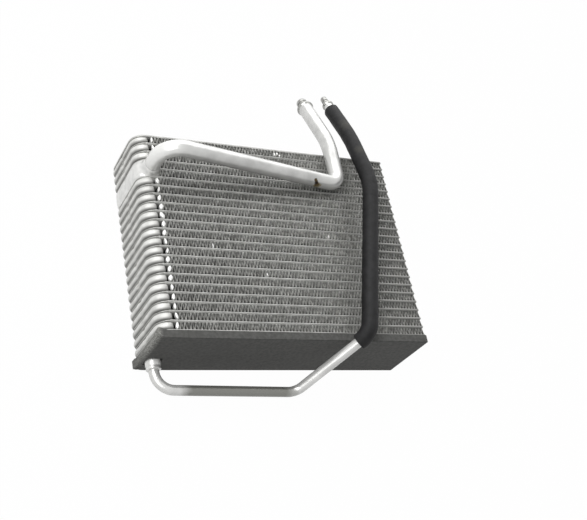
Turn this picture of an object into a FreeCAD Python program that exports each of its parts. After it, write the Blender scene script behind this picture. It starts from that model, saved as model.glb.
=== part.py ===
"""Evaporator core of a vehicle air conditioner: a stack of drawn plate pairs and
folded fins, with its suction and liquid pipes, a foam sleeve and a foam pad.

Millimetres. The core lies on its back face: the origin is the middle of that face,
+X runs along the plates towards their free end, +Y up the stack of plates, and +Z
out of the front face, on the side where the pipes are.
"""

import FreeCAD, Part
import Sketcher

import math
import os

Vector = FreeCAD.Vector

# Driving dimensions: each alias, its value and what it is.
DIMENSIONS = [
    ("core_length", 285.0, "outside of the header to the plates' free end"),
    ("core_depth", 74.0, "back face to front face"),
    ("tube_pitch", 9.45, "one plate pair to the next"),
    ("tube_count", 21, "plate pairs in the stack"),
    ("tube_thickness", 2.6, "flat part of one plate pair"),
    ("header_width", 15.8, "width of the drawn cups along the plates"),
    ("plate_corner", 14.0, "corner radius of a plate at the header end"),
    ("cup_seam", 0.9, "height of the groove between two brazed cups"),
    ("cup_seam_depth", 4.6, "depth of that groove"),
    ("top_plate", 1.8, "thickness of the top end plate"),
    ("bottom_plate", 1.0, "thickness of the bottom end plate"),
    ("fin_gap", 3.0, "open slot between the header and the first fold"),
    ("fin_margin", 0.8, "plates standing past the last fold"),
    ("fin_setback", 0.8, "fin edge behind the plates' edges"),
    ("fin_waves", 8, "folds of one fin strip, drawn coarser than the real 76"),
    ("fin_stock", 0.5, "upright thickness of the folded strip as drawn"),
    ("port_tube", 4, "plate pair, counted from the top, that carries the port"),
    ("port_inset", 1.8, "middle of the port to the inner side of the header"),
    ("port_boss", 18.6, "outer diameter of the port's boss"),
    ("port_reach", 6.0, "boss standing out of the front face"),
    ("port_root", 8.0, "boss reaching back into the header"),
    ("suction_od", 16.0, "outer diameter of the suction pipe"),
    ("suction_rise", 40.2, "boss to the corner over the port"),
    ("suction_end_x", 215.6, "upright stretch of the suction pipe"),
    ("suction_drop", 4.1, "fall of the run from the port to its end"),
    ("suction_clear", 0.6, "suction pipe to the front face at its foot"),
    ("suction_top", 217.8, "corner where the suction pipe turns back"),
    ("suction_end", 294.9, "height of the suction nose"),
    ("suction_port_bend", 20.0, "bend over the port"),
    ("suction_foot_bend", 12.0, "bend at the foot of the upright stretch"),
    ("suction_top_bend", 50.0, "bend where the pipe turns back"),
    ("suction_nose", 11.8, "outer diameter of the formed nose"),
    ("suction_bore", 8.8, "bore of the formed nose"),
    ("suction_bead", 18.6, "outer diameter of the formed bead"),
    ("suction_nose_length", 10.5, "nose standing past the bead"),
    ("lean_back", 23.0, "degrees that both pipe ends lean back"),
    ("liquid_od", 10.0, "outer diameter of the liquid pipe"),
    ("liquid_x", 12.3, "ferrule from the header's outside"),
    ("liquid_z", 20.0, "ferrule from the back face"),
    ("liquid_drop", 35.3, "bottom plate to the run under the pad"),
    ("liquid_turn_x", 154.5, "corner where the run turns forward"),
    ("liquid_turn_drop", 38.7, "bottom plate to that corner"),
    ("liquid_foot_x", 207.2, "corner under the upright stretch, along the core"),
    ("liquid_foot_drop", 7.0, "bottom plate to that corner"),
    ("liquid_foot_front", 16.0, "that corner in front of the front face"),
    ("liquid_end_x", 245.8, "end of the liquid pipe along the core"),
    ("liquid_knee", 162.5, "height where the pipe starts to lean back"),
    ("liquid_top", 229.0, "height where the pipe turns back"),
    ("liquid_front", 24.4, "that start in front of the front face"),
    ("liquid_top_front", 8.3, "the turn above it in front of the front face"),
    ("liquid_end", 304.3, "height of the liquid nose"),
    ("liquid_first_bend", 18.0, "bend under the ferrule"),
    ("liquid_turn_bend", 16.0, "bend out from under the pad"),
    ("liquid_foot_bend", 20.0, "bend at the foot"),
    ("liquid_knee_bend", 30.0, "bend where the pipe starts to lean back"),
    ("liquid_top_bend", 60.0, "bend where the pipe turns back"),
    ("liquid_nose", 7.4, "outer diameter of the formed nose"),
    ("liquid_bore", 5.2, "bore of the formed nose"),
    ("liquid_bead", 12.8, "outer diameter of the formed bead"),
    ("liquid_nose_length", 12.5, "nose standing past the bead"),
    ("bead_length", 3.0, "length of the bead"),
    ("mouth_depth", 12.0, "depth to which the mouths are bored"),
    ("ferrule_od", 14.8, "outer diameter of the ferrule"),
    ("ferrule_length", 16.5, "ferrule below the bottom plate"),
    ("sleeve_od", 17.0, "outer diameter of the foam sleeve"),
    ("sleeve_clear", 0.1, "sleeve bore to the pipe, all round"),
    ("sleeve_crease", 24.0, "most degrees turned at one crease inside the foam"),
    ("sleeve_start", 1.8, "sleeve's lower end before the foot bend"),
    ("sleeve_end", 13.5, "sleeve's upper end before the bead"),
    ("pad_thickness", 7.75, "foam pad under the bottom plate"),
    ("pad_notch_clear", 0.3, "pad to the ferrule"),
    ("pad_rounding", 4.0, "rounding of the pad's lower left edge"),
]

doc = FreeCAD.newDocument("evaporator_core")
sheet = doc.addObject("Spreadsheet::Sheet", "Dimensions")
for row, (alias, value, note) in enumerate(DIMENSIONS, start=1):
    sheet.set(f"A{row}", alias)
    sheet.set(f"B{row}", str(value))
    sheet.set(f"C{row}", note)
    sheet.setAlias(f"B{row}", alias)
doc.recompute()


def size(alias):
    """One driving dimension, read back from the sheet."""
    return float(sheet.get(alias))


# The stack in terms of the driving dimensions, as expressions and as numbers.
HALF_HEIGHT = "Dimensions.tube_pitch * (Dimensions.tube_count + 1) / 2"
LEFT = "-Dimensions.core_length / 2"
PORT_X = "Dimensions.header_width - Dimensions.port_inset"

# The liquid pipe's bends, from its ferrule to its nose.
LIQUID_BENDS = ["first", "turn", "foot", "knee", "top"]

tube_count = int(size("tube_count"))
port_tube = int(size("port_tube"))
half_height = size("tube_pitch") * (tube_count + 1) / 2
left = -size("core_length") / 2
pieces = []


def keep(label, piece):
    """Name a finished sub-part: its label is the name of its file."""
    piece.Label = label
    pieces.append(piece)
    return piece


def tube_level(number):
    """Height of the middle plane of a plate pair, counted from the top."""
    return f"{HALF_HEIGHT} - {number} * Dimensions.tube_pitch"


def bind(thing, **formulas):
    """Tie properties of an object to formulas over the sheet."""
    for name, formula in formulas.items():
        thing.setExpression(name.replace("_", "."), formula)


def block(name, low, length, width, height):
    """A box whose low corner and three sizes are formulas."""
    box = doc.addObject("Part::Box", name)
    bind(box, Length=length, Width=width, Height=height)
    for axis, formula in zip("xyz", low):
        box.setExpression(f"Placement.Base.{axis}", formula)
    return box


def rod(name, low, radius, height):
    """A cylinder along +Z whose foot, radius and height are formulas."""
    cylinder = doc.addObject("Part::Cylinder", name)
    bind(cylinder, Radius=radius, Height=height)
    for axis, formula in zip("xyz", low):
        cylinder.setExpression(f"Placement.Base.{axis}", formula)
    return cylinder


def joined(name, *parts):
    """One solid out of overlapping or touching ones, with its seams removed."""
    fuse = doc.addObject("Part::MultiFuse", name)
    fuse.Shapes = list(parts)
    fuse.Refine = True
    return fuse


def rounded_left(name, box):
    """The header end of a plate: both upright edges on the left are rounded."""
    doc.recompute()
    fillet = doc.addObject("Part::Fillet", name)
    fillet.Base = box
    radius = size("plate_corner")
    outside = box.Placement.Base.x
    edges = []
    for number, edge in enumerate(box.Shape.Edges, start=1):
        ends = [vertex.Point for vertex in edge.Vertexes]
        along_stack = abs(ends[0].y - ends[1].y) > 1e-6
        if along_stack and abs(ends[0].x - outside) < 1e-6:
            edges.append((number, radius, radius))
    fillet.Edges = edges
    return fillet


def cup_ring(name, low, high):
    """The drawn cups of one plate pair between two heights: a rounded ring."""
    ring = block(f"{name}_cups", (LEFT, low, "0 mm"), "Dimensions.header_width",
                 f"{high} - ({low})", "Dimensions.core_depth")
    return rounded_left(f"{name}_ring", ring)


def cup_joint(name, low, high):
    """The brazed joint of two cups, set back behind their rounded shoulders."""
    inset = "Dimensions.cup_seam_depth"
    return block(f"{name}_joint", (f"{LEFT} + {inset}", low, inset), f"Dimensions.header_width - {inset}",
                 f"{high} - ({low})", f"Dimensions.core_depth - 2 * {inset}")


def flat(name, low, thickness):
    """The flat, tube-forming part of a plate, from inside the header to its free end."""
    start = "Dimensions.plate_corner"
    return block(f"{name}_flat", (f"{LEFT} + {start}", low, "0 mm"), f"Dimensions.core_length - {start}",
                 thickness, "Dimensions.core_depth")


def plate_pair(number):
    """Two drawn plates brazed face to face: cups at the header end, a flat tube beyond."""
    name = f"tube_{number:02d}"
    level = tube_level(number)
    half = "Dimensions.tube_thickness / 2"
    body = flat(name, f"{level} - {half}", "Dimensions.tube_thickness")
    if number == port_tube:
        # The port takes the place of this pair's cups, and the flat tube butts against it.
        body.setExpression("Placement.Base.x", f"{LEFT} + Dimensions.header_width")
        body.setExpression("Length", "Dimensions.core_length - Dimensions.header_width")
        return keep(name, body)
    to_joint = "Dimensions.tube_pitch / 2"
    low = f"{level} - {to_joint} + Dimensions.cup_seam"
    high = f"{level} + {to_joint}"
    if number == port_tube + 1:
        high = f"{level} + {half}"
    if number == port_tube - 1:
        low = f"{level} - {half}"
        return keep(name, joined(f"{name}_solid", body, cup_ring(name, low, high)))
    joint = cup_joint(name, f"{level} - {to_joint}", f"{low} + {half}")
    return keep(name, joined(f"{name}_solid", body, cup_ring(name, low, high), joint))


def end_plate(label, level, thickness, inward):
    """A thicker plate that closes the stack, with half a cup on its inner side."""
    reach = "Dimensions.tube_pitch / 2"
    if inward > 0:
        ring = cup_ring(label, level, f"{level} + {reach}")
        return keep(label, joined(f"{label}_solid", flat(label, level, thickness), ring))
    low = f"{level} - {reach} + Dimensions.cup_seam"
    ring = cup_ring(label, low, level)
    joint = cup_joint(label, f"{level} - {reach}", f"{low} + {thickness}")
    plate = flat(label, f"{level} - {thickness}", thickness)
    return keep(label, joined(f"{label}_solid", plate, ring, joint))


def role_plane(body, role):
    """One of a body's own origin planes."""
    for feature in body.Origin.OriginFeatures:
        if feature.Role == role:
            return feature
    raise ValueError(f"no plane {role}")


def outline(body, name, role, corners):
    """A closed outline of straight lines. Each corner is two formulas from the body's origin."""
    sketch = body.newObject("Sketcher::SketchObject", name)
    sketch.AttachmentSupport = (role_plane(body, role), [""])
    sketch.MapMode = "FlatFace"
    count = len(corners)
    spread = [2 * math.pi * index / count for index in range(count)]
    starts = [Vector(10 * math.cos(angle), 10 * math.sin(angle), 0) for angle in spread]
    for index in range(count):
        sketch.addGeometry(Part.LineSegment(starts[index], starts[(index + 1) % count]), False)
    for index in range(count):
        sketch.addConstraint(Sketcher.Constraint("Coincident", index, 2, (index + 1) % count, 1))
    for index, corner in enumerate(corners):
        guess = (starts[index].x, starts[index].y)
        for kind, formula, start in zip(("DistanceX", "DistanceY"), corner, guess):
            number = sketch.addConstraint(Sketcher.Constraint(kind, -1, 1, index, 1, start))
            sketch.setExpression(f"Constraints[{number}]", formula)
    return sketch


def placed(body, x="0 mm", y="0 mm", z="0 mm"):
    """Put a body where three formulas say."""
    for axis, formula in zip("xyz", (x, y, z)):
        body.setExpression(f"Placement.Base.{axis}", formula)


def fin_strip(row):
    """One strip of folded fin, brazed between two flat tubes: a fold, repeated along the row."""
    name = f"fin_{row:02d}"
    half = "Dimensions.tube_thickness / 2"
    low = f"{tube_level(row)} + {half}"
    high = f"{tube_level(row - 1)} - {half}"
    if row == 1:
        high = f"{HALF_HEIGHT} - Dimensions.top_plate"
    if row == tube_count + 1:
        low = f"-({HALF_HEIGHT}) + Dimensions.bottom_plate"
    rise = f"({high} - ({low}))"
    start = "Dimensions.header_width + Dimensions.fin_gap"
    run = f"(Dimensions.core_length - ({start}) - Dimensions.fin_margin)"
    fold = f"({run} / Dimensions.fin_waves)"
    stock = "Dimensions.fin_stock"

    body = doc.addObject("PartDesign::Body", f"{name}_body")
    sketch = outline(body, f"{name}_fold", "XY_Plane", [
        ("0 mm", "0 mm"),
        (f"{fold} / 2", f"{rise} - {stock}"),
        (fold, "0 mm"),
        (fold, stock),
        (f"{fold} / 2", rise),
        ("0 mm", stock),
    ])
    sketch.Visibility = False
    pad = body.newObject("PartDesign::Pad", f"{name}_depth")
    pad.Profile = sketch
    pad.setExpression("Length", "Dimensions.core_depth - 2 * Dimensions.fin_setback")
    repeat = body.newObject("PartDesign::LinearPattern", f"{name}_folds")
    repeat.Originals = [pad]
    repeat.Direction = (sketch, ["H_Axis"])
    repeat.Mode = "Spacing"
    repeat.setExpression("Offset", fold)
    repeat.setExpression("Occurrences", "Dimensions.fin_waves")
    repeat.Refine = True
    body.Tip = repeat
    placed(body, x=f"{LEFT} + {start}", y=low, z="Dimensions.fin_setback")
    return keep(name, body)


def suction_port():
    """The machined port: a block in place of one pair's cups, with a boss in front."""
    half = "Dimensions.tube_thickness / 2"
    low = f"{tube_level(port_tube + 1)} + {half}"
    high = f"{tube_level(port_tube - 1)} - {half}"
    middle = tube_level(port_tube)
    centre = f"{LEFT} + {PORT_X}"
    radius = "Dimensions.port_boss / 2"
    behind = "Dimensions.core_depth - Dimensions.port_root"
    boss = rod("port_boss", (centre, middle, "Dimensions.core_depth"), radius, "Dimensions.port_reach")
    # Behind the front face the boss keeps to the block, clear of the plates and fins beside it.
    root = rod("port_root", (centre, middle, behind), radius, "Dimensions.port_root")
    limit = block("port_limit", (LEFT, low, behind), "Dimensions.header_width",
                  f"{high} - ({low})", "Dimensions.port_root")
    kept_root = doc.addObject("Part::Common", "port_kept_root")
    kept_root.Base = root
    kept_root.Tool = limit
    return keep("suction_port", joined("port_solid", cup_ring("port", low, high), kept_root, boss))


def route(points, radii):
    """Straight runs joined by tangent arcs: a list of spans along a bent pipe.

    A run is (start, end). A bend is (start, centre, axis, degrees).
    """
    spans = []
    here = points[0]
    for before, corner, after, radius in zip(points, points[1:], points[2:], radii):
        into = (corner - before).normalize()
        out = (after - corner).normalize()
        turn = into.getAngle(out)
        setback = radius * math.tan(turn / 2)
        start = corner - into * setback
        axis = into.cross(out).normalize()
        centre = start + axis.cross(into) * radius
        spans.append((here, start))
        spans.append((start, centre, axis, math.degrees(turn)))
        here = corner + out * setback
    spans.append((here, points[-1]))
    return spans


def swept(spans, diameter):
    """A round bar along a route: cylinders for the runs and parts of a torus for the bends."""
    solids = []
    for span in spans:
        if len(span) == 2:
            start, end = span
            solids.append(Part.makeCylinder(diameter / 2, (end - start).Length, start, end - start))
        else:
            start, centre, axis, degrees = span
            into = axis.cross(centre - start) * -1
            circle = Part.Face(Part.Wire(Part.makeCircle(diameter / 2, start, into)))
            solids.append(circle.revolve(centre, axis, degrees))
    return solids[0].multiFuse(solids[1:]).removeSplitter()


def creased(spans):
    """Points along a route inside the foam, where each bend is a few straight creases."""
    points = [spans[0][0]]
    for span in spans:
        if len(span) == 2:
            points.append(span[1])
            continue
        start, centre, axis, degrees = span
        creases = math.ceil(degrees / size("sleeve_crease"))
        for index in range(1, creases + 1):
            turn = FreeCAD.Rotation(axis, degrees * index / creases)
            points.append(centre + turn.multVec(start - centre))
    return points


def mitred(points, diameter):
    """A round bar along straight runs with mitred corners."""
    line = Part.makePolygon(points)
    circle = Part.Wire(Part.makeCircle(diameter / 2, points[0], points[1] - points[0]))
    return line.makePipeShell([circle], True, False, 1)


def formed_end(tip, direction, kind):
    """The formed end of a pipe: a bead rolled up round it, then a narrower nose.

    Returns the turned form, the mouth to cut out of it, and the length that it adds.
    """
    pipe = size(f"{kind}_od") / 2
    nose = size(f"{kind}_nose") / 2
    bead = size(f"{kind}_bead") / 2
    past = size(f"{kind}_nose_length")
    ridge = size("bead_length")
    length = past + ridge + pipe
    profile = [
        (0, -length),
        (pipe, -length),
        (pipe, -past - ridge),
        (bead, -past - ridge / 2),
        (nose, -past),
        (nose, 0),
        (0, 0),
    ]
    corners = [Vector(radius, 0, along) for radius, along in profile]
    face = Part.Face(Part.makePolygon(corners + corners[:1]))
    turned = face.revolve(Vector(0, 0, 0), Vector(0, 0, 1), 360)
    depth = size("mouth_depth")
    mouth = Part.makeCylinder(size(f"{kind}_bore") / 2, depth, Vector(0, 0, -depth))
    where = FreeCAD.Placement(tip, FreeCAD.Rotation(Vector(0, 0, 1), direction))
    turned.Placement = where
    mouth.Placement = where
    return turned, mouth, length


def solid_feature(label, shape):
    """A sub-part whose form is worked out from the sheet's sizes in the functions above."""
    feature = doc.addObject("Part::Feature", f"{label}_solid")
    feature.Shape = shape
    return keep(label, feature)


def in_core(x, height, z):
    """A point given from the header's outside, the bottom plate and the back face."""
    return Vector(left + x, height - half_height, z)


def end_of_pipe(height, corner):
    """Tip of a pipe end that leans back from a corner up to a height."""
    lean = math.radians(size("lean_back"))
    rise = height - half_height - corner.y
    return corner + Vector(0, rise, -rise * math.tan(lean))


def suction_pipe():
    """The suction pipe: out of the port, along the front face, up and back over the core."""
    level = 2 * half_height - port_tube * size("tube_pitch")
    face = size("core_depth")
    port_x = size("header_width") - size("port_inset")
    foot_z = face + size("suction_od") / 2 + size("suction_clear")
    points = [
        in_core(port_x, level, face + size("port_reach")),
        in_core(port_x, level, face + size("suction_rise")),
        in_core(size("suction_end_x"), level - size("suction_drop"), foot_z),
        in_core(size("suction_end_x"), size("suction_top"), foot_z),
    ]
    tip = end_of_pipe(size("suction_end"), points[-1])
    direction = (tip - points[-1]).normalize()
    turned, mouth, length = formed_end(tip, direction, "suction")
    radii = [size("suction_port_bend"), size("suction_foot_bend"), size("suction_top_bend")]
    bar = swept(route(points + [tip - direction * length], radii), size("suction_od"))
    return solid_feature("suction_pipe", bar.fuse(turned).removeSplitter().cut(mouth))


def liquid_route(trim):
    """Spans of the liquid pipe, from its ferrule to a length short of its tip."""
    face = size("core_depth")
    points = [
        in_core(size("liquid_x"), -size("ferrule_length"), size("liquid_z")),
        in_core(size("liquid_x"), -size("liquid_drop"), size("liquid_z")),
        in_core(size("liquid_turn_x"), -size("liquid_turn_drop"), size("liquid_z")),
        in_core(size("liquid_foot_x"), -size("liquid_foot_drop"), face + size("liquid_foot_front")),
        in_core(size("liquid_end_x"), size("liquid_knee"), face + size("liquid_front")),
        in_core(size("liquid_end_x"), size("liquid_top"), face + size("liquid_top_front")),
    ]
    tip = end_of_pipe(size("liquid_end"), points[-1])
    direction = (tip - points[-1]).normalize()
    radii = [size(f"liquid_{bend}_bend") for bend in LIQUID_BENDS]
    return route(points + [tip - direction * trim], radii), tip, direction


def open_and_covered(spans):
    """Divide the liquid pipe's route at the sleeve's lower mouth, just before the foot bend."""
    before_foot = 2 * LIQUID_BENDS.index("foot")
    start, end = spans[before_foot]
    mouth = end - (end - start).normalize() * size("sleeve_start")
    return spans[:before_foot] + [(start, mouth)], [(mouth, end)] + spans[before_foot + 1:]


def liquid_pipe():
    """The liquid pipe: smooth bends in the open, creased ones where the foam hides them."""
    tip, direction = liquid_route(0)[1:]
    turned, mouth, length = formed_end(tip, direction, "liquid")
    in_the_open, covered = open_and_covered(liquid_route(length)[0])
    bar = swept(in_the_open, size("liquid_od"))
    bar = bar.multiFuse([mitred(creased(covered), size("liquid_od")), turned]).removeSplitter()
    return solid_feature("liquid_pipe", bar.cut(mouth))


def foam_sleeve():
    """A foam tube slipped over the liquid pipe, from just before its foot to below its bead."""
    spans = liquid_route(size("liquid_nose_length") + size("sleeve_end"))[0]
    line = creased(open_and_covered(spans)[1])
    bore = size("liquid_od") + 2 * size("sleeve_clear")
    return solid_feature("foam_sleeve", mitred(line, size("sleeve_od")).cut(mitred(line, bore)))


def liquid_ferrule():
    """The collar under the bottom plate that the liquid pipe is brazed to."""
    foot = in_core(size("liquid_x"), -size("ferrule_length"), size("liquid_z"))
    collar = Part.makeCylinder(size("ferrule_od") / 2, size("ferrule_length"), foot, Vector(0, 1, 0))
    return solid_feature("liquid_ferrule", collar)


def foam_pad():
    """The foam pad stuck under the bottom plate, notched at the back round the ferrule."""
    body = doc.addObject("PartDesign::Body", "pad_body")
    notch = "(Dimensions.ferrule_od / 2 + Dimensions.pad_notch_clear)"
    corners = [
        ("0 mm", "0 mm"),
        (f"Dimensions.liquid_x - {notch}", "0 mm"),
        (f"Dimensions.liquid_x - {notch}", f"Dimensions.liquid_z + {notch}"),
        (f"Dimensions.liquid_x + {notch}", f"Dimensions.liquid_z + {notch}"),
        (f"Dimensions.liquid_x + {notch}", "0 mm"),
        ("Dimensions.core_length", "0 mm"),
        ("Dimensions.core_length", "Dimensions.core_depth"),
        ("0 mm", "Dimensions.core_depth"),
    ]
    sketch = outline(body, "pad_outline", "XZ_Plane", corners)
    sketch.Visibility = False
    slab = body.newObject("PartDesign::Pad", "pad_slab")
    slab.Profile = sketch
    slab.setExpression("Length", "Dimensions.pad_thickness")
    doc.recompute()
    edge_name = None
    for number, edge in enumerate(slab.Shape.Edges, start=1):
        ends = [vertex.Point for vertex in edge.Vertexes]
        on_left = all(abs(end.x) < 1e-6 for end in ends)
        along_left = on_left and abs(ends[0].z - ends[1].z) > 1e-6
        if along_left and ends[0].y < -size("pad_thickness") / 2:
            edge_name = f"Edge{number}"
    rounding = body.newObject("PartDesign::Fillet", "pad_rounding")
    rounding.Base = (slab, [edge_name])
    rounding.setExpression("Radius", "Dimensions.pad_rounding")
    body.Tip = rounding
    placed(body, x=LEFT, y=f"-({HALF_HEIGHT})")
    return keep("foam_pad", body)


end_plate("top_end_plate", HALF_HEIGHT, "Dimensions.top_plate", -1)
end_plate("bottom_end_plate", f"-({HALF_HEIGHT})", "Dimensions.bottom_plate", 1)
for number in range(1, tube_count + 1):
    plate_pair(number)
for row in range(1, tube_count + 2):
    fin_strip(row)
suction_port()
suction_pipe()
liquid_ferrule()
liquid_pipe()
foam_sleeve()
foam_pad()

doc.recompute()
for thing in doc.Objects:
    if "Invalid" in thing.State or "Error" in thing.State:
        raise RuntimeError(f"{thing.Name} failed: {thing.State}")
for piece in pieces:
    shape = piece.Shape
    if shape.isNull() or not shape.isValid():
        raise RuntimeError(f"{piece.Label} has no valid shape")
    if len(shape.Solids) != 1:
        raise RuntimeError(f"{piece.Label} has {len(shape.Solids)} solids")

os.makedirs("parts", exist_ok=True)
for piece in pieces:
    piece.Shape.exportStep(f"parts/{piece.Label}.step")
    print(piece.Label, round(piece.Shape.Volume, 1))
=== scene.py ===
"""Looks of the evaporator core: drawn plates with cups, folded fins, bent pipes and foam.

Sizes are millimetres, measured from the header's outside, the bottom plate and the
back face: x along the plates, y up the stack, z out of the front face.
"""

import bpy
import math
from mathutils import Matrix, Vector, noise


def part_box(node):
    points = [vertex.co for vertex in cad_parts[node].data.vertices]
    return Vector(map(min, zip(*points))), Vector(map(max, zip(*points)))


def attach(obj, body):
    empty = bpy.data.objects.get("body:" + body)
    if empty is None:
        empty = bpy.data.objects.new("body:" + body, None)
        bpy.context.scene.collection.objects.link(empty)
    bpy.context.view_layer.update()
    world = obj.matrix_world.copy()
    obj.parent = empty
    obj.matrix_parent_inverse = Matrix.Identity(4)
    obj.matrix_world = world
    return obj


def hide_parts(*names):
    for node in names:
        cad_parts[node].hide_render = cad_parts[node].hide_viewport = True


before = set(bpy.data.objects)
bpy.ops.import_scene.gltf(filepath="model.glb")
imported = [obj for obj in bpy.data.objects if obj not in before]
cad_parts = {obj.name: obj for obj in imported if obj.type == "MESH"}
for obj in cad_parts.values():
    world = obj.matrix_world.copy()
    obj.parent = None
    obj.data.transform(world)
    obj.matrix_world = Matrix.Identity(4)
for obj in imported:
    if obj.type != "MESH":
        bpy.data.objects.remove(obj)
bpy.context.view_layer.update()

MM = 0.001
BODY = "root"

# The core's own sizes, read from the frame. The plate pair at the port has no cups, so its box is
# that of the flat tube alone and starts where the header ends.
PORT_TUBE = 4
header_low, header_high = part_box("tube_01")
flat_low, flat_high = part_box(f"tube_{PORT_TUBE:02d}")
ferrule_low, ferrule_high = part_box("liquid_ferrule")
bottom_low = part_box("bottom_end_plate")[0]
top_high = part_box("top_end_plate")[1]
pad_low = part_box("foam_pad")[0]
ORIGIN = Vector((header_low.x, bottom_low.y, header_low.z))
LENGTH = (header_high.x - header_low.x) / MM
DEPTH = (header_high.z - header_low.z) / MM
HEIGHT = (top_high.y - bottom_low.y) / MM
HEADER = (flat_low.x - header_low.x) / MM
TUBE = (flat_high.y - flat_low.y) / MM
PAD = (bottom_low.y - pad_low.y) / MM
TUBES = len([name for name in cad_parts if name.startswith("tube_")])
PITCH = HEIGHT / (TUBES + 1)
PORT_LEVEL = HEIGHT - PORT_TUBE * PITCH

# Thickness of the sheets, how far the flanges start behind the cups' outside, and corner radii. A
# cup has its own radius at the back left, back right, front right and front left.
FLANGE = 0.9
FLANGE_START = 0.9
TOP_PLATE = 1.8
BOTTOM_PLATE = 1.0
CORNER = 14.0
CUP_CORNERS = (12.0, 3.6, 3.6, 12.0)

# Fins: the real pitch of the folds, and a foil drawn thick enough to show. Past FIN_STEP their
# front edges are set back, and the flat tubes are fuller.
FIN_START = HEADER + 2.6
FIN_END = LENGTH + 0.3
FOLDS = 76
FOIL = 0.2
CREST = 0.34
FIN_FRONT = DEPTH - 0.5
FIN_STEP = LENGTH - 42.0
FIN_SET_BACK = 1.0
FIN_BACK = 0.8

# Bent folds that catch the light: place, half width, and half height as a share of the row.
BENT_FOLDS = [
    (152.5, 202.0, 0.9, 0.3), (155.8, 203.2, 1.2, 0.25), (158.4, 201.0, 0.7, 0.3),
    (251.5, 121.0, 0.8, 0.3), (66.0, 88.5, 0.5, 0.4), (118.0, 60.2, 0.5, 0.35), (196.0, 107.5, 0.5, 0.35),
]

# Paler brownish patches on the foam tube: the middle of each patch and its reach.
PALE_FOAM_PATCHES = [((245.0, 246.0, 84.0), 11.0), ((245.0, 205.0, 96.0), 7.0), ((245.0, 60.0, 96.0), 12.0)]

# Grain of each surface, in millimetres across. The real grain of the metal and the cells of the
# foam are too fine to show, so they are drawn coarser. The pipes have only slow waves.
SHEET_GRAIN = 0.9
FITTING_GRAIN = 0.7
PIPE_WAVES = 9.0
TUBE_FOAM_GRAIN = 2.6
SHEET_FOAM_GRAIN = 0.9


def place(x, y, z):
    """A point of the row frame, in metres, from millimetres on the core."""
    return ORIGIN + Vector((x, y, z)) * MM


def node(tree, kind, sockets=None, **settings):
    """Add a node with its settings. A socket's value is a number, a colour or a link's start."""
    made = tree.nodes.new(kind)
    for name, value in settings.items():
        setattr(made, name, value)
    for key, value in (sockets or {}).items():
        if isinstance(value, bpy.types.NodeSocket):
            tree.links.new(value, made.inputs[key])
        else:
            made.inputs[key].default_value = value
    return made


def colour(code):
    """Linear colour from an sRGB hex value."""
    channels = [int(code[start:start + 2], 16) / 255 for start in (0, 2, 4)]
    linear = [value / 12.92 if value <= 0.04045 else ((value + 0.055) / 1.055) ** 2.4 for value in channels]
    return (*linear, 1.0)


def per_mm(size):
    """Scale of a pattern whose features are this many millimetres across."""
    return 1.0 / (size * MM)


def angles(count):
    """Angles of evenly spaced points round a circle."""
    return [2 * math.pi * turn / count for turn in range(count)]


def blank_material(name):
    """A new material with its tree, its shader and the object's own coordinates."""
    material = bpy.data.materials.new(name)
    material.use_nodes = True
    tree = material.node_tree
    tree.nodes.clear()
    shader = node(tree, "ShaderNodeBsdfPrincipled")
    node(tree, "ShaderNodeOutputMaterial", {"Surface": shader.outputs["BSDF"]})
    where = node(tree, "ShaderNodeTexCoord").outputs["Object"]
    return material, tree, shader, where


def mottled(tree, where, size, dark, light, low=0.35, high=0.65, detail=3.0):
    """A colour that drifts between two over patches of a size in millimetres."""
    patches = node(tree, "ShaderNodeTexNoise", {"Vector": where, "Scale": per_mm(size), "Detail": detail})
    spread = node(tree, "ShaderNodeMapRange", {
        "Value": patches.outputs["Fac"], "From Min": low, "From Max": high,
    })
    mix = node(tree, "ShaderNodeMix", {
        "Factor": spread.outputs["Result"], 6: colour(dark), 7: colour(light),
    }, data_type="RGBA")
    return mix.outputs[2]


def grained(tree, where, size, distance, strength=0.5):
    """Fine relief of grains of a size in millimetres."""
    grains = node(tree, "ShaderNodeTexNoise", {"Vector": where, "Scale": per_mm(size), "Detail": 2.0})
    bump = node(tree, "ShaderNodeBump", {
        "Height": grains.outputs["Fac"], "Distance": distance * MM, "Strength": strength,
    })
    return bump.outputs["Normal"]


def spot(tree, where, centre, reach, soft):
    """1 inside a ragged spot round a point of the core, 0 outside it, with a soft rim."""
    away = node(tree, "ShaderNodeVectorMath", {0: where, 1: tuple(place(*centre))}, operation="DISTANCE")
    grain = per_mm(reach * 0.6)
    ragged = node(tree, "ShaderNodeTexNoise", {"Vector": where, "Scale": grain, "Detail": 3.0})
    wandering = node(tree, "ShaderNodeMath", {
        0: ragged.outputs["Fac"], 1: reach * MM, 2: away.outputs["Value"],
    }, operation="MULTIPLY_ADD")
    # In reaches from the middle. The noise alone takes up about half of one.
    rim = 1.6
    inside = node(tree, "ShaderNodeMapRange", {
        "Value": wandering.outputs[0], "From Min": (rim - soft) * reach * MM, "From Max": rim * reach * MM,
        "To Min": 1.0, "To Max": 0.0,
    })
    return inside.outputs["Result"]


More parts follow.
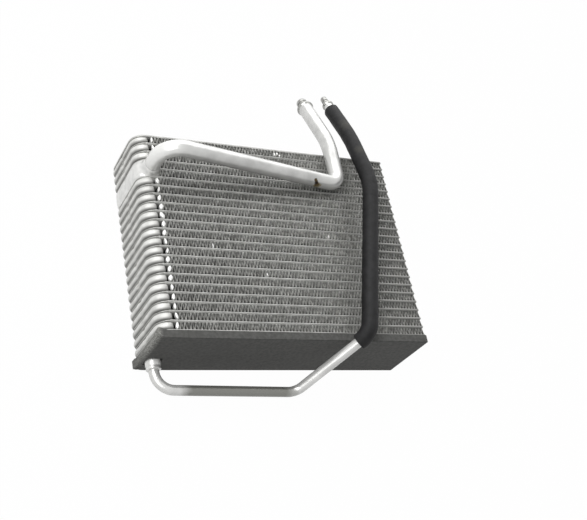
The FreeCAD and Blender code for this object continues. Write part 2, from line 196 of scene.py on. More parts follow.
def brazed_plate():
    """Clad aluminium sheet after brazing: satin grey and clouded by flux. It is painted darker than the
    cups as shade on the flanges, and painted darker still towards the free end.
    """
    material, tree, shader, where = blank_material("brazed_aluminium_sheet")
    cloud = mottled(tree, where, 9.0, "9C9C99", "B4B4B1")
    parts = node(tree, "ShaderNodeSeparateXYZ", {"Vector": where})
    # Painted shade: the sheet's colour darkens over the last 150 mm towards the free end.
    free = node(tree, "ShaderNodeMapRange", {
        "Value": parts.outputs["X"], "From Min": place(LENGTH - 150.0, 0, 0).x,
        "From Max": place(LENGTH - 10.0, 0, 0).x,
    }, interpolation_type="SMOOTHSTEP")
    painted_free_end_shade = node(tree, "ShaderNodeMix", {
        "Factor": free.outputs["Result"], 6: cloud, 7: colour("8A8A87"),
    }, data_type="RGBA")
    tree.links.new(painted_free_end_shade.outputs[2], shader.inputs["Base Color"])
    tree.links.new(grained(tree, where, SHEET_GRAIN, 0.05), shader.inputs["Normal"])
    shader.inputs["Metallic"].default_value = 0.2
    shader.inputs["Roughness"].default_value = 0.45
    return material


def drawn_cup():
    """The cups' sheet with painted light and shade: bright on its round sides, painted dark by the
    flanges and towards the fins.
    """
    material, tree, shader, where = blank_material("drawn_aluminium_cup")
    cloud = mottled(tree, where, 9.0, "C6C6C3", "D7D7D4")
    parts = node(tree, "ShaderNodeSeparateXYZ", {"Vector": where})
    rows = node(tree, "ShaderNodeMath", {
        0: parts.outputs["Y"], 1: 1.0 / (PITCH * MM), 2: 0.5 * HEIGHT / PITCH,
    }, operation="MULTIPLY_ADD")
    # A share of the way from one flange up to the next.
    level = node(tree, "ShaderNodeMath", {0: rows.outputs[0]}, operation="FRACT")
    # Painted shade: dark over the lower part of each barrel above a flange and just under the next one.
    unshaded_above_flange = node(tree, "ShaderNodeMapRange", {
        "Value": level.outputs[0], "From Min": 0.1, "From Max": 0.42,
    }, interpolation_type="SMOOTHSTEP")
    unshaded_below_flange = node(tree, "ShaderNodeMapRange", {
        "Value": level.outputs[0], "From Min": 0.86, "From Max": 0.95, "To Min": 1.0, "To Max": 0.0,
    }, interpolation_type="SMOOTHSTEP")
    unshaded_by_flanges = node(tree, "ShaderNodeMath", {
        0: unshaded_above_flange.outputs["Result"], 1: unshaded_below_flange.outputs["Result"],
    }, operation="MULTIPLY")
    # Painted shade: darker towards the fins, where the cups' round ends turn away from the light.
    unshaded_by_fins = node(tree, "ShaderNodeMapRange", {
        "Value": parts.outputs["X"], "From Min": place(9.0, 0, 0).x, "From Max": place(HEADER, 0, 0).x,
        "To Min": 1.0, "To Max": 0.3,
    })
    unshaded = node(tree, "ShaderNodeMath", {
        0: unshaded_by_flanges.outputs[0], 1: unshaded_by_fins.outputs["Result"],
    }, operation="MULTIPLY")
    painted_shade = node(tree, "ShaderNodeMix", {
        "Factor": unshaded.outputs[0], 6: colour("5E5E5B"), 7: cloud,
    }, data_type="RGBA")
    tree.links.new(painted_shade.outputs[2], shader.inputs["Base Color"])
    tree.links.new(grained(tree, where, SHEET_GRAIN, 0.05), shader.inputs["Normal"])
    shader.inputs["Metallic"].default_value = 0.2
    shader.inputs["Roughness"].default_value = 0.52
    return material


def fin_foil():
    """Thin aluminium foil, rolled and brazed: patchy grey at its front edges, with painted shade making
    it nearly black within.
    """
    material, tree, shader, where = blank_material("fin_foil")
    patch = mottled(tree, where, 4.0, "949490", "D2D2CE", detail=4.0)
    parts = node(tree, "ShaderNodeSeparateXYZ", {"Vector": where})
    # Painted shade: the foil is painted nearly black deeper than a few millimetres behind its front.
    front = node(tree, "ShaderNodeMapRange", {
        "Value": parts.outputs["Z"], "From Min": (FIN_FRONT - 3.4) * MM, "From Max": (FIN_FRONT - 1.2) * MM,
    })
    painted_shade = node(tree, "ShaderNodeMix", {
        "Factor": front.outputs["Result"], 6: colour("2C2C2A"), 7: patch,
    }, data_type="RGBA")
    tree.links.new(painted_shade.outputs[2], shader.inputs["Base Color"])
    shader.inputs["Metallic"].default_value = 0.4
    shader.inputs["Roughness"].default_value = 0.34
    return material


def bright_foil():
    """Foil pressed flat, painted paler than the folds as a highlight where it catches the light."""
    material, tree, shader, where = blank_material("pressed_foil")
    tree.links.new(mottled(tree, where, 2.5, "D8D8D6", "EEEEEC"), shader.inputs["Base Color"])
    shader.inputs["Metallic"].default_value = 0.35
    shader.inputs["Roughness"].default_value = 0.35
    return material


def drawn_pipe(name, dark, light, marks):
    """Drawn aluminium pipe: smooth and bright, with its marks of painted highlight and shade, and its stains.
    """
    material, tree, shader, where = blank_material(name)
    surface = mottled(tree, where, 18.0, dark, light)
    for tint, centre, reach, soft in marks:
        mix = node(tree, "ShaderNodeMix", {
            "Factor": spot(tree, where, centre, reach, soft), 6: surface, 7: colour(tint),
        }, data_type="RGBA")
        surface = mix.outputs[2]
    tree.links.new(surface, shader.inputs["Base Color"])
    tree.links.new(grained(tree, where, PIPE_WAVES, 0.04, 0.3), shader.inputs["Normal"])
    shader.inputs["Metallic"].default_value = 0.42
    shader.inputs["Roughness"].default_value = 0.24
    return material


def rolled_end():
    """The formed pipe ends: smooth, darker than the pipe and sharply reflecting."""
    material, tree, shader, where = blank_material("rolled_pipe_end")
    tree.links.new(mottled(tree, where, 3.0, "8C8C89", "ABABA8"), shader.inputs["Base Color"])
    shader.inputs["Metallic"].default_value = 0.7
    shader.inputs["Roughness"].default_value = 0.24
    return material


def turned_fitting():
    """Turned aluminium of the port and the ferrule: pale, evenly bright and only softly shiny."""
    material, tree, shader, where = blank_material("turned_aluminium")
    cloud = mottled(tree, where, 5.0, "CECECC", "E0E0DE")
    tree.links.new(cloud, shader.inputs["Base Color"])
    tree.links.new(grained(tree, where, FITTING_GRAIN, 0.05), shader.inputs["Normal"])
    shader.inputs["Metallic"].default_value = 0.5
    shader.inputs["Roughness"].default_value = 0.33
    return material


def sleeve_foam():
    """Closed-cell rubber foam tube: nearly black and matt, with a few paler brownish patches."""
    material, tree, shader, where = blank_material("rubber_foam_tube")
    surface = mottled(tree, where, 7.0, "0B0B0C", "1A1A1B", detail=4.0)
    for centre, reach in PALE_FOAM_PATCHES:
        paler_patch = node(tree, "ShaderNodeMix", {
            "Factor": spot(tree, where, centre, reach, 0.9), 6: surface, 7: colour("2E2D29"),
        }, data_type="RGBA")
        surface = paler_patch.outputs[2]
    tree.links.new(surface, shader.inputs["Base Color"])
    tree.links.new(grained(tree, where, TUBE_FOAM_GRAIN, 0.35), shader.inputs["Normal"])
    shader.inputs["Roughness"].default_value = 0.62
    shader.inputs["Specular IOR Level"].default_value = 0.25
    return material


def pad_foam():
    """Closed-cell rubber foam sheet: dark grey, matt and grained, with painted light making its left end
    paler and speckled.
    """
    material, tree, shader, where = blank_material("rubber_foam_sheet")
    cloud = mottled(tree, where, 3.0, "3C3C3A", "4E4E4C", detail=5.0)
    parts = node(tree, "ShaderNodeSeparateXYZ", {"Vector": where})
    # Painted light on the pressed-round left edge: paler and speckled near the left end, most at the front.
    edge = node(tree, "ShaderNodeMapRange", {
        "Value": parts.outputs["X"], "From Min": place(0.4, 0, 0).x, "From Max": place(4.6, 0, 0).x,
        "To Min": 1.0, "To Max": 0.0,
    })
    ahead = node(tree, "ShaderNodeMapRange", {
        "Value": parts.outputs["Z"], "From Min": 4.0 * MM, "From Max": 40.0 * MM, "To Min": 0.25,
    })
    share = node(tree, "ShaderNodeMath", {
        0: edge.outputs["Result"], 1: ahead.outputs["Result"],
    }, operation="MULTIPLY")
    pale_speckles = mottled(tree, where, 1.3, "565652", "949490", low=0.4, high=0.6, detail=4.0)
    painted_light_left_end = node(tree, "ShaderNodeMix", {
        "Factor": share.outputs[0], 6: cloud, 7: pale_speckles,
    }, data_type="RGBA")
    tree.links.new(painted_light_left_end.outputs[2], shader.inputs["Base Color"])
    tree.links.new(grained(tree, where, SHEET_FOAM_GRAIN, 0.2, 0.7), shader.inputs["Normal"])
    shader.inputs["Roughness"].default_value = 0.8
    return material


def piece(name, shells, materials, nodes, sharp=40):
    """One named piece made of closed shells, standing for the CAD nodes given.

    The last material goes to all the shells that have none of their own.
    """
    points = []
    faces = []
    finishes = []
    for number, (corners, sides) in enumerate(shells):
        first = len(points)
        points.extend(place(*corner) for corner in corners)
        faces.extend([first + index for index in side] for side in sides)
        finishes.extend([min(number, len(materials) - 1)] * len(sides))
    mesh = bpy.data.meshes.new(name)
    mesh.from_pydata(points, [], faces)
    for material in materials:
        mesh.materials.append(material)
    for face, finish in zip(mesh.polygons, finishes):
        face.material_index = finish
    mesh.validate()
    mesh.shade_smooth()
    mesh.set_sharp_from_angle(angle=math.radians(sharp))
    made = bpy.data.objects.new(name, mesh)
    bpy.context.scene.collection.objects.link(made)
    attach(made, BODY)
    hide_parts(*nodes)
    return made


def skin(loops):
    """A closed shell over loops of the same number of points, capped at both ends."""
    count = len(loops[0])
    corners = [corner for loop in loops for corner in loop]
    sides = [list(range(count))[::-1]]
    for level in range(len(loops) - 1):
        low, high = level * count, (level + 1) * count
        for index in range(count):
            after = (index + 1) % count
            sides.append([low + index, low + after, high + after, high + index])
    sides.append([(len(loops) - 1) * count + index for index in range(count)])
    return corners, sides


def plan(left, right, radii, inset, dip=0.0):
    """Outline of a plate seen along the stack, with rounded corners and a dip in its left side.

    The radii are for the back left, back right, front right and front left corners.
    """
    steps = 8
    rungs = 20
    dip_width = 3.0
    left, right, back, front = left + inset, right - inset, inset, DEPTH - inset
    back_left, back_right, front_right, front_left = [max(radius - inset, 0.15) for radius in radii]
    corners = [
        (left + back_left, back + back_left, back_left, 180),
        (right - back_right, back + back_right, back_right, 270),
        (right - front_right, front - front_right, front_right, 0),
        (left + front_left, front - front_left, front_left, 90),
    ]
    points = []
    for x, z, radius, start in corners:
        for step in range(steps + 1):
            angle = math.radians(start + 90 * step / steps)
            points.append((x + radius * math.cos(angle), z + radius * math.sin(angle)))
    top, bottom = front - front_left, back + back_left
    middle = (back + front) / 2
    for rung in range(1, rungs):
        z = top + (bottom - top) * rung / rungs
        points.append((left + dip * math.exp(-((z - middle) / dip_width) ** 2), z))
    return points


def lifted(outline, y):
    """An outline at a height."""
    return [(x, y, z) for x, z in outline]


def cup(joint, flange_side):
    """A drawn cup from its joint to the flange: half of a barrel with a small dip in its side."""
    rise = flange_side - joint
    dip = max(0.7 + 1.3 * noise.noise(Vector((joint, flange_side, 0.7))), 0.1)
    profile = [
        (0.0, 0.08), (0.06, 0.02), (0.16, 0.03), (0.34, 0.24), (0.52, 0.6),
        (0.68, 1.15), (0.82, 1.85), (0.93, 2.6), (1.0, 3.3),
    ]
    loops = []
    for share, inset in profile:
        outline = plan(0, HEADER + 1.4 * share ** 1.5, CUP_CORNERS, inset, dip)
        loops.append(lifted(outline, joint + rise * share))
    return skin(loops if rise > 0 else loops[::-1])


def flange(level, thickness, start=0.0):
    """The two plates' brazed flange: a thin sheet with rounded edges, all round the plate."""
    half = thickness / 2
    left = 0.3 if start == HEADER else CORNER
    loops = []
    for share, inset in ((-1, 0.45), (-0.6, 0.2), (0.6, 0.2), (1, 0.45)):
        outline = plan(start, LENGTH, (left, 2, 2, left), inset)
        loops.append(lifted(outline, level + half * share))
    return skin(loops)


def passage(level):
    """The flat tube between the flanges, rounded along its edges, with a fuller far end."""
    half = TUBE / 2
    narrow, full = 0.5, 0.2
    stations = [
        (HEADER - 3.0, narrow), (LENGTH - 42.8, narrow), (LENGTH - 38.8, full), (LENGTH - 1.2, full),
    ]
    loops = []
    for x, margin in stations:
        loop = []
        for z, side in ((margin, 1), (DEPTH - margin, -1)):
            for share in range(7):
                angle = math.radians(-90 + 30 * share)
                inward = side * half * (1 - math.cos(angle))
                loop.append((x, level + half * math.sin(angle) * side, z + inward))
        loops.append(loop)
    return skin(loops)


def plate_pair(number):
    """Two drawn plates: a flange all round, a flat passage, and a cup above and below."""
    level = HEIGHT - number * PITCH
    start = HEADER if number == PORT_TUBE else FLANGE_START
    shells = [passage(level), flange(level, FLANGE, start)]
    half = FLANGE / 2
    # The port takes the place of its own pair's cups and of the two that face it.
    if number not in (PORT_TUBE, PORT_TUBE + 1):
        shells.append(cup(level + PITCH / 2, level + half))
    if number not in (PORT_TUBE, PORT_TUBE - 1):
        shells.append(cup(level - PITCH / 2, level - half))
    name = f"plate_pair_{number:02d}"
    piece(name, shells, [plates, plates, cups], [f"tube_{number:02d}"])


def end_plate(name, level, thickness, joint):
    """A thicker sheet that closes the stack, with half a cup on its inner side."""
    inner = level + thickness if joint > level else level - thickness
    sheet = flange((level + inner) / 2, thickness)
    piece(f"{name}_sheet", [sheet, cup(joint, inner)], [plates, cups], [name])


def wave(low, high):
    """The line of the folds across one row: straight legs with rounded crests."""
    pitch = (FIN_END - FIN_START) / FOLDS
    points = []
    for fold in range(FOLDS):
        left = FIN_START + fold * pitch
        for quarter, crest, side in ((1, high, 1), (3, low, -1)):
            for turn in range(-75, 76, 25):
                angle = math.radians(turn)
                x = left + quarter * pitch / 4 + CREST * math.sin(angle)
                points.append((x, crest - side * CREST + side * CREST * math.cos(angle)))
            points.append((left + (quarter + 1) * pitch / 4, (low + high) / 2))
    return points[:-1]


def fin_strip(row):
    """One strip of folded foil between two flat tubes, its front edges slightly bent."""
    low = HEIGHT - row * PITCH + TUBE / 2
    high = HEIGHT - (row - 1) * PITCH - TUBE / 2
    if row == 1:
        high = HEIGHT - TOP_PLATE
    if row == TUBES + 1:
        low = BOTTOM_PLATE
    half = FOIL / 2
    line = wave(low + half, high - half)
    # Depths along the folds, and how much the foil is bent there.
    slices = ((FIN_BACK, 0.0), (FIN_FRONT - 3.0, 0.25), (FIN_FRONT, 1.0))
    corners = []
    for z, bent in slices:
        for index, (x, y) in enumerate(line):
            before = line[max(index - 1, 0)]
            after = line[min(index + 1, len(line) - 1)]
            along = Vector((after[0] - before[0], after[1] - before[1])).normalized()
            across = Vector((-along.y, along.x)) * half
            from_tubes = 1 - abs(2 * (y - low) / (high - low) - 1)
            sway = noise.noise(Vector((x / 5.0, row * 7.3, z / 40.0))) * 0.5
            sway += noise.noise(Vector((x / 1.3, row * 3.1, 4.0))) * 0.35
            shift = bent * from_tubes * sway
            deep = z - (FIN_SET_BACK if x > FIN_STEP and bent else 0.0)
            corners.append((x + across.x + shift, y + across.y, deep))
            corners.append((x - across.x + shift, y - across.y, deep))
    count = len(line)
    sides = []
    for level in range(len(slices) - 1):
        back, front = level * count * 2, (level + 1) * count * 2
        for index in range(count - 1):
            a, b = 2 * index, 2 * index + 2
            sides.append([back + a, front + a, front + b, back + b])
            sides.append([back + a + 1, back + b + 1, front + b + 1, front + a + 1])
        sides.append([back, back + 1, front + 1, front])
        last = 2 * (count - 1)
        sides.append([back + last, front + last, front + last + 1, back + last + 1])
    front = (len(slices) - 1) * count * 2
    for index in range(count - 1):
        a, b = 2 * index, 2 * index + 2
        sides.append([a, b, b + 1, a + 1])
        sides.append([front + a, front + a + 1, front + b + 1, front + b])
    shells = [(corners, sides)] + pressed_bits(low, high, row)
    materials = [foil, pressed_foil]
    piece(f"fin_strip_{row:02d}", shells, materials, [f"fin_{row:02d}"], sharp=50)


def pressed(x, y, wide, tall, lean=0.0):
    """A bit of foil pressed flat in front of the folds: a small pointed seed, leaning a little."""
    loops = []
    for ahead, share in ((-3.0, 0.8), (-0.9, 1.0), (0.0, 0.95), (0.4, 0.75)):
        z = FIN_FRONT + ahead
        loop = []
        for angle in angles(16):
            reach = wide * (1 - 0.4 * abs(math.sin(angle)) ** 1.6)
            aside = reach * math.cos(angle) + lean * tall * math.sin(angle)
            loop.append((x + share * aside, y + tall * share * math.sin(angle), z))
        loops.append(loop)
    return skin(loops)


def pressed_bits(low, high, row):
    """The cut end of a fin strip, pressed flat, and the few bent folds that catch the light."""
    wander = [noise.noise(Vector((row * 2.7, seed, 0.5))) for seed in (0.3, 5.1, 9.4, 13.7, 17.2)]
    middle = (low + high) / 2
    tall = (high - low) * (0.48 + 0.05 * wander[2])
    start = FIN_START + 0.7 + 0.9 * wander[0]
    bits = [pressed(start, middle + 0.4 * wander[1], 1.7 + 1.1 * wander[3], tall, 0.5 * wander[4])]
    for x, y, wide, high_share in BENT_FOLDS:
        if low < y < high:
            bits.append(pressed(x, y, wide, high_share * (high - low)))
    return bits


def bent_line(points, radii, step):
    """Points along straight runs and round bends, closely spaced in the bends."""
    spacing = 8.0
    points = [Vector(point) for point in points]
    line = [points[0]]
    for before, corner, after, radius in zip(points, points[1:], points[2:], radii):
        into = (corner - before).normalized()
        out = (after - corner).normalized()
        turn = into.angle(out)
        axis = into.cross(out).normalized()
        start = corner - into * radius * math.tan(turn / 2)
        centre = start + axis.cross(into) * radius
        count = max(6, round(radius * turn / step))
        line.extend(runs(line[-1], start, spacing))
        for index in range(1, count + 1):
            rotation = Matrix.Rotation(turn * index / count, 3, axis)
            line.append(centre + rotation @ (start - centre))
    line.extend(runs(line[-1], points[-1], spacing))
    return line


def runs(start, end, spacing):
    """Points along a straight run after its start, up to its end."""
    count = max(1, round((end - start).length / spacing))
    return [start.lerp(end, index / count) for index in range(1, count + 1)]


def hose(line, radius_at, around=40):
    """Loops round a line whose radius is a function of the distance along it and the angle."""
    ahead = (line[1] - line[0]).normalized()
    side = ahead.orthogonal().normalized()
    travelled = 0.0
    loops = []
    for index, point in enumerate(line):
        before = line[max(index - 1, 0)]
        after = line[min(index + 1, len(line) - 1)]
        tangent = (after - before).normalized()
        side = ahead.rotation_difference(tangent) @ side
        ahead = tangent
        other = ahead.cross(side)
        travelled += (point - line[index - 1]).length if index else 0.0
        loop = []
        for angle in angles(around):
            spoke = side * math.cos(angle) + other * math.sin(angle)
            loop.append(tuple(point + spoke * radius_at(travelled, spoke)))
        loops.append(loop)
    return loops


def formed_end(tip, past, pipe, bead, nose, bore):
    """Loops from the pipe over its rolled bead and nose, into the mouth."""
    profile = [
        (past + BEAD_REACH, pipe), (past + 3.9, pipe + 0.3 * (bead - pipe)), (past + 3.3, bead - 0.5),
        (past + 2.7, bead - 0.05), (past + 1.9, bead), (past + 1.0, bead - 0.25), (past + 0.4, bead - 1.0),
        (past + 0.1, nose + 0.5), (past - 0.4, nose), (past - 3.2, nose), (past - 3.4, nose - 0.6),
        (past - 5.6, nose - 0.6), (past - 5.8, nose), (1.0, nose), (0.3, nose - 0.25), (0.0, nose - 0.8),
        (0.0, bore + 0.3), (0.4, bore), (past - 0.5, bore),
    ]
    side = LEAN_BACK.orthogonal().normalized()
    other = LEAN_BACK.cross(side)
    loops = []
    for back, radius in profile:
        centre = tip - LEAN_BACK * back
        loop = []
        for angle in angles(40):
            loop.append(tuple(centre + (side * math.cos(angle) + other * math.sin(angle)) * radius))
        loops.append(loop)
    return loops


# Both pipe ends lean back. A formed end is its nose and, behind it, the bead's reach.
LEAN = math.radians(23.0)
LEAN_BACK = Vector((0, math.cos(LEAN), -math.sin(LEAN)))
BEAD_REACH = 4.6
PIPE_STEP = 1.2

# The suction pipe's corners and bends, the height of its tip, and its bead, nose and bore radii.
SUCTION_RADIUS = 8.0
SUCTION_FORMED = (9.3, 5.9, 4.4)
PORT_X = HEADER - 1.8
SUCTION_START = (PORT_X, PORT_LEVEL, DEPTH + 6.0)
SUCTION_RISE = (PORT_X, PORT_LEVEL, DEPTH + 40.2)
SUCTION_FOOT = (215.6, PORT_LEVEL - 4.1, DEPTH + 8.6)
SUCTION_TOP = (215.6, 217.8, DEPTH + 8.6)
SUCTION_TIP = 294.9
SUCTION_NOSE = 10.5
SUCTION_BENDS = (20, 12, 80)

# Each mark is its colour, middle, reach and softness. The pale marks on the bends at both ends are
# painted highlight. The rust spot before the foot bend has a pale rim, a run and a dark middle.
SUCTION_MARKS = [
    ("E6E6E4", (PORT_X + 3.0, PORT_LEVEL, DEPTH + 27.0), 34.0, 0.8),
    ("CFCFCD", (216.0, 162.0, DEPTH + 8.6), 30.0, 0.8),
    ("A39A80", (186.5, 158.2, 87.5), 4.4, 0.3), ("6A5A3C", (185.4, 158.9, 89.4), 3.0, 0.3),
    ("4A3B22", (182.5, 161.5, 93.7), 1.8, 0.3), ("4A3B22", (183.4, 160.7, 92.4), 2.0, 0.3),
    ("2C2010", (184.2, 159.9, 91.0), 2.2, 0.3),
]

# The liquid pipe's corners and bends, the height of its tip, and its bead, nose and bore radii. The
# foam sleeve covers it from just before the foot up to below the bead.
LIQUID_RADIUS = 5.0
LIQUID_FORMED = (6.4, 3.7, 2.6)
FERRULE_X = 12.3
FERRULE_Z = 20.0
LIQUID_START = (FERRULE_X, -16.5, FERRULE_Z)
LIQUID_FIRST = (FERRULE_X, -35.3, FERRULE_Z)
LIQUID_TURN = (154.5, -38.7, FERRULE_Z)
LIQUID_FOOT = (207.2, -7.0, DEPTH + 16.0)
LIQUID_KNEE = (245.8, 162.5, DEPTH + 24.4)
LIQUID_TOP = (245.8, 229.0, DEPTH + 8.3)
LIQUID_TIP = 304.3
LIQUID_NOSE = 12.5
FOOT_BEND = 20
LIQUID_BENDS = (18, 16, FOOT_BEND, 90, 220)
# Painted shade: the liquid pipe's run under the pad is painted darker.
LIQUID_MARKS = [("858580", (95.0, -37.0, 20.0), 62.0, 0.25)]
SLEEVE_RADIUS = 8.5
SLEEVE_START = 1.8
SLEEVE_END = 13.5


def tip_over(corner, height):
    """Tip of a pipe end that leans back from a corner up to a height."""
    rise = height - corner[1]
    return Vector(corner) + LEAN_BACK * (rise / math.cos(LEAN))


def pipe_with_end(kind, line, radius, end, metal):
    """A drawn pipe along a line, with its formed end."""
    shells = [skin(hose(line, lambda travelled, spoke: radius)), skin(end)]
    piece(f"{kind}_pipe_drawn", shells, [metal, end_metal], [f"{kind}_pipe"])


def suction_pipe():
    """The thick pipe: out of the port, along the front, sharply up and back over the core."""
    tip = tip_over(SUCTION_TOP, SUCTION_TIP)
    bead = tip - LEAN_BACK * (SUCTION_NOSE + BEAD_REACH)
    line = bent_line([SUCTION_START, SUCTION_RISE, SUCTION_FOOT, SUCTION_TOP, bead], SUCTION_BENDS, PIPE_STEP)
    end = formed_end(tip, SUCTION_NOSE, SUCTION_RADIUS, *SUCTION_FORMED)
    pipe_with_end("suction", line, SUCTION_RADIUS, end, suction_metal)


def liquid_points(end):
    """The liquid pipe's corners, from its ferrule to an end point."""
    return [LIQUID_START, LIQUID_FIRST, LIQUID_TURN, LIQUID_FOOT, LIQUID_KNEE, LIQUID_TOP, end]


def liquid_pipe():
    """The thin pipe: under the pad, forward past its edge and up the front, inside the foam."""
    tip = tip_over(LIQUID_TOP, LIQUID_TIP)
    bead = tip - LEAN_BACK * (LIQUID_NOSE + BEAD_REACH)
    line = bent_line(liquid_points(bead), LIQUID_BENDS, PIPE_STEP)
    end = formed_end(tip, LIQUID_NOSE, LIQUID_RADIUS, *LIQUID_FORMED)
    pipe_with_end("liquid", line, LIQUID_RADIUS - 0.02, end, liquid_metal)


def foam_sleeve():
    """The foam tube over the liquid pipe, soft and slightly uneven, its ends cut square."""
    tip = tip_over(LIQUID_TOP, LIQUID_TIP)
    line = bent_line(liquid_points(tip - LEAN_BACK * (LIQUID_NOSE + SLEEVE_END)), LIQUID_BENDS, 1.0)
    foot = Vector(LIQUID_FOOT)
    into = (foot - Vector(LIQUID_TURN)).normalized()
    out = (Vector(LIQUID_KNEE) - foot).normalized()
    mouth = foot - into * (FOOT_BEND * math.tan(into.angle(out) / 2) + SLEEVE_START)
    covered = [mouth]
    covered += [point for point in line if (point - mouth).dot(into) > 0.6 and point.x > mouth.x - 1]

    uneven = 0.25

    def soft(travelled, spoke):
        bumps = noise.noise(Vector((travelled / 9.0, spoke.x * 1.5, spoke.z * 1.5)))
        return SLEEVE_RADIUS - uneven + uneven * bumps

    def rim(edge, hole):
        return [tuple(Vector(a).lerp(Vector(b), 0.1)) for a, b in zip(edge, hole)]

    around = 48
    outer = hose(covered, soft, around)
    inner = hose(covered, lambda travelled, spoke: LIQUID_RADIUS + 0.15, around)
    loops = [rim(outer[0], inner[0])] + outer + [rim(outer[-1], inner[-1])] + inner[::-1]
    corners, sides = skin(loops)
    # A tube has no caps: its last loop joins its first.
    sides = sides[1:-1]
    final = (len(loops) - 1) * around
    for index in range(around):
        after = (index + 1) % around
        sides.append([final + index, final + after, after, index])
    made = piece("foam_sleeve_tube", [(corners, sides)], [tube_foam], ["foam_sleeve"])


def slab(xs, zs, kept, top, bottom):
    """A closed sheet over the kept cells of a grid, between two heights given as functions."""
    corners = []
    for height in (bottom, top):
        corners.extend((x, height(x, z), z) for z in zs for x in xs)
    wide, deep = len(xs), len(zs)
    level = wide * deep
    inside = 0.01
    cells = {
        (i, j) for i in range(wide - 1) for j in range(deep - 1)
        if kept(xs[i] + inside, zs[j] + inside)
    }
    sides = []
    for i, j in cells:
        a, b = j * wide + i, j * wide + i + 1
        c, d = b + wide, a + wide
        sides.append([a, b, c, d])
        sides.append([a + level, d + level, c + level, b + level])
        around = ((a, b, (i, j - 1)), (b, c, (i + 1, j)), (c, d, (i, j + 1)), (d, a, (i - 1, j)))
        for start, end, beside in around:
            if beside not in cells:
                sides.append([start, start + level, end + level, end])
    return corners, sides


def foam_pad():
    """The foam strip under the bottom plate, with a square hole round the ferrule.

    Its lower left edge is pressed round, its front left corner curls up and its back left is ragged.
    """
    hole = (ferrule_high.x - ferrule_low.x) / MM / 2 + 0.3
    xs = [0, 0.3, 0.8, 1.5, 2.4, 3.4, FERRULE_X - hole, 6, 8, 11, 15, FERRULE_X + hole]
    xs += [25 + 10 * step for step in range(26)] + [LENGTH - 0.4, LENGTH]
    zs = [0, 0.4, 3, 6, 9, 12, FERRULE_Z - hole, 17, 20, FERRULE_Z + hole]
    zs += [34, 40, 46, 52, 57, 61, 64, 67, 70, 72, DEPTH - 0.6, DEPTH]
    sunk = 0.1

    def kept(x, z):
        return abs(x - FERRULE_X) > hole or abs(z - FERRULE_Z) > hole

    def ease(value, low, high):
        share = min(max((value - low) / (high - low), 0.0), 1.0)
        return share * share * (3 - 2 * share)

    # The curl rises towards the front left corner, and the lump is the ragged foam at the back left.
    def top(x, z):
        curl = 2.6 * (1 - ease(x, 0, 9)) * ease(z, 58, DEPTH)
        ragged = max(1.0 + 1.2 * noise.noise(Vector((x / 2.2, z / 2.2, 3.0))), 0.0)
        lump = (1 - ease(x, 3, 9)) * (1 - ease(z, 5, 12)) * ragged
        return -sunk + curl + lump

    def bottom(x, z):
        radius = 4.0 * ease(z, 17, 22)
        rise = radius - math.sqrt(max(radius ** 2 - (radius - x) ** 2, 0.0)) if x < radius else 0.0
        edge = 0.5 * (1 - ease(z, 0, 0.4) + ease(z, DEPTH - 0.6, DEPTH))
        return -PAD + rise + edge + 0.6 * (top(x, z) + sunk)

    shell = slab(xs, zs, kept, top, bottom)
    made = piece("foam_pad_strip", [shell], [sheet_foam], ["foam_pad"])


def ferrule():
    """The turned collar that the liquid pipe is brazed into."""
    radius = (ferrule_high.x - ferrule_low.x) / MM / 2
    length = (ferrule_high.y - ferrule_low.y) / MM
    profile = [
        (0.1, radius), (length - 4.5, radius), (length - 3.6, radius - 0.5), (length - 3.0, radius - 0.4),
        (length - 0.8, radius - 0.4), (length, radius - 1.6),
    ]
    loops = []
    for drop, reach in profile:
        loop = []
        for angle in angles(48):
            loop.append((FERRULE_X + reach * math.cos(angle), -drop, FERRULE_Z + reach * math.sin(angle)))
        loops.append(loop)
    piece("liquid_ferrule_turned", [skin(loops)], [fitting], ["liquid_ferrule"])


def suction_port():
    """The smooth port: a full ring between two flanges, with a stub boss in front."""
    low = PORT_LEVEL - PITCH + FLANGE / 2
    high = PORT_LEVEL + PITCH - FLANGE / 2
    barrel = [
        (0, 1.6), (0.04, 0.9), (0.12, 0.4), (0.3, 0.1), (0.5, 0.0),
        (0.7, 0.1), (0.88, 0.4), (0.96, 0.9), (1, 1.6),
    ]
    rings = []
    for share, inset in barrel:
        outline = plan(0, HEADER, CUP_CORNERS, inset, 0.5)
        rings.append(lifted(outline, low + (high - low) * share))
    boss = []
    swell = ((-5, 13.0), (-3, 11.2), (-1.4, 10.1), (0, 9.5), (1.5, 9.1), (3.4, 8.8), (4.8, 8.4), (5.4, 7.9))
    for ahead, radius in swell:
        z = DEPTH + ahead
        loop = []
        for angle in angles(56):
            loop.append((PORT_X + radius * math.cos(angle), PORT_LEVEL + radius * math.sin(angle), z))
        boss.append(loop)
    shells = [skin(rings), skin(boss)]
    piece("suction_port_body", shells, [fitting], ["suction_port"])


plates = brazed_plate()
cups = drawn_cup()
foil = fin_foil()
pressed_foil = bright_foil()
suction_metal = drawn_pipe("drawn_aluminium_with_rust_spot", "B6B6B4", "CACAC8", SUCTION_MARKS)
liquid_metal = drawn_pipe("drawn_aluminium_painted_shade_below", "CCCCCA", "DEDEDC", LIQUID_MARKS)
end_metal = rolled_end()
fitting = turned_fitting()
tube_foam = sleeve_foam()
sheet_foam = pad_foam()

end_plate("top_end_plate", HEIGHT, TOP_PLATE, HEIGHT - PITCH / 2)
end_plate("bottom_end_plate", 0.0, BOTTOM_PLATE, PITCH / 2)
for number in range(1, TUBES + 1):
    plate_pair(number)
for row in range(1, TUBES + 2):
    fin_strip(row)
suction_port()
suction_pipe()
ferrule()
liquid_pipe()
foam_sleeve()
foam_pad()

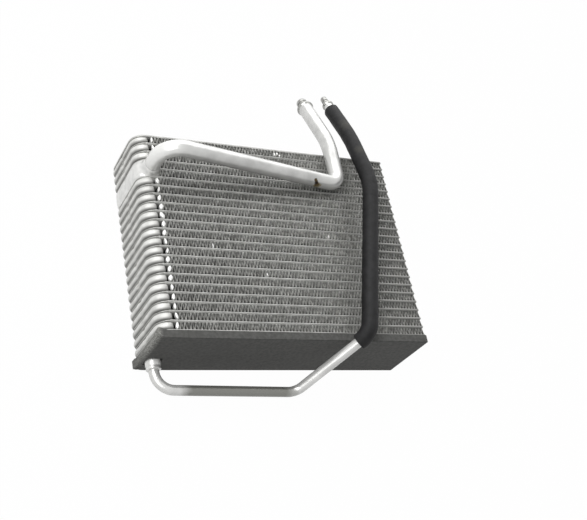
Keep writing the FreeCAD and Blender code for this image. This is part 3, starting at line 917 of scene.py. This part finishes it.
# The camera of the photograph: its place, its axes and its lens.
CAMERA_AT = Vector((-0.44827, -0.45306, 0.82224))
RIGHT = Vector((0.883, -0.18, 0.435)).normalized()
AHEAD = Vector((0.467, 0.438, -0.768)).normalized()
UP = RIGHT.cross(AHEAD).normalized()
FOCAL = 61.14

# Each lamp's direction from the core, distance, width and power.
LAMPS = {
    "key": (Vector((-0.55, 0.25, 0.8)), 1.5, 0.9, 14),
    "top": (Vector((0.16, 0.84, 0.5)), 1.6, 1.9, 21),
    "front": (Vector((-0.6, -0.35, 0.7)), 1.5, 0.9, 7),
}
SOFT_LIGHT = 0.22

# The floor: how pale its paper is, how much of the white a viewer sees, its reach and its drop.
PAPER = 0.6
WHITE_SHARE = 0.985
FLOOR_REACH = 6.0
FLOOR_DROP = 0.0005


def camera():
    """The camera at the photograph's viewing angle."""
    data = bpy.data.cameras.new("camera")
    data.lens = FOCAL
    data.sensor_width = 36.0
    data.clip_end = 20.0
    made = bpy.data.objects.new("camera", data)
    axes = Matrix((RIGHT, UP, -AHEAD)).transposed().to_4x4()
    made.matrix_world = Matrix.Translation(CAMERA_AT) @ axes
    bpy.context.scene.collection.objects.link(made)
    bpy.context.scene.camera = made


def lamp(name, direction, distance, across, power):
    """A square soft light that shines at the core's middle from a direction."""
    data = bpy.data.lights.new(name, "AREA")
    data.shape = "SQUARE"
    data.size = across
    data.energy = power
    made = bpy.data.objects.new(name, data)
    middle = Vector((0, 0, 0.05))
    made.location = middle + direction.normalized() * distance
    made.rotation_mode = "QUATERNION"
    made.rotation_quaternion = (-direction).to_track_quat("-Z", "Y")
    bpy.context.scene.collection.objects.link(made)


def seen_directly(tree):
    """1 for rays that a viewer follows: straight, or through a reflection or glass."""
    path = node(tree, "ShaderNodeLightPath")
    first = node(tree, "ShaderNodeMath", {
        0: path.outputs["Is Camera Ray"], 1: path.outputs["Is Glossy Ray"],
    }, operation="MAXIMUM")
    both = node(tree, "ShaderNodeMath", {
        0: first.outputs[0], 1: path.outputs["Is Transmission Ray"],
    }, operation="MAXIMUM")
    return both.outputs[0]


def surroundings(level):
    """A plain soft world that looks white and lights the object at a lower level."""
    world = bpy.data.worlds.new("studio")
    bpy.context.scene.world = world
    world.use_nodes = True
    tree = world.node_tree
    tree.nodes.clear()
    glow = node(tree, "ShaderNodeBackground", {"Color": (1, 1, 1, 1), "Strength": level})
    white = node(tree, "ShaderNodeBackground", {"Color": (1, 1, 1, 1), "Strength": 1.0})
    mix = node(tree, "ShaderNodeMixShader", {
        0: seen_directly(tree), 1: glow.outputs[0], 2: white.outputs[0],
    })
    node(tree, "ShaderNodeOutputWorld", {"Surface": mix.outputs[0]})


def floor():
    """A plain pale floor that stays near white and keeps the object's shadow."""
    material = bpy.data.materials.new("pale_floor")
    material.use_nodes = True
    tree = material.node_tree
    tree.nodes.clear()
    paper = node(tree, "ShaderNodeBsdfDiffuse", {"Color": (PAPER, PAPER, PAPER, 1)})
    white = node(tree, "ShaderNodeEmission", {"Color": (1, 1, 1, 1), "Strength": 1.0})
    share = node(tree, "ShaderNodeMath", {0: seen_directly(tree), 1: WHITE_SHARE}, operation="MULTIPLY")
    mix = node(tree, "ShaderNodeMixShader", {
        0: share.outputs[0], 1: paper.outputs[0], 2: white.outputs[0],
    })
    node(tree, "ShaderNodeOutputMaterial", {"Surface": mix.outputs[0]})
    mesh = bpy.data.meshes.new("floor")
    signs = ((-1, -1), (1, -1), (1, 1), (-1, 1))
    mesh.from_pydata([(x * FLOOR_REACH, y * FLOOR_REACH, 0) for x, y in signs], [], [(0, 1, 2, 3)])
    mesh.materials.append(material)
    made = bpy.data.objects.new("floor", mesh)
    made.location.z = -FLOOR_DROP
    bpy.context.scene.collection.objects.link(made)


camera()
for name, settings in LAMPS.items():
    lamp(name, *settings)
surroundings(SOFT_LIGHT)
floor()
bpy.context.scene.view_settings.view_transform = "Standard"
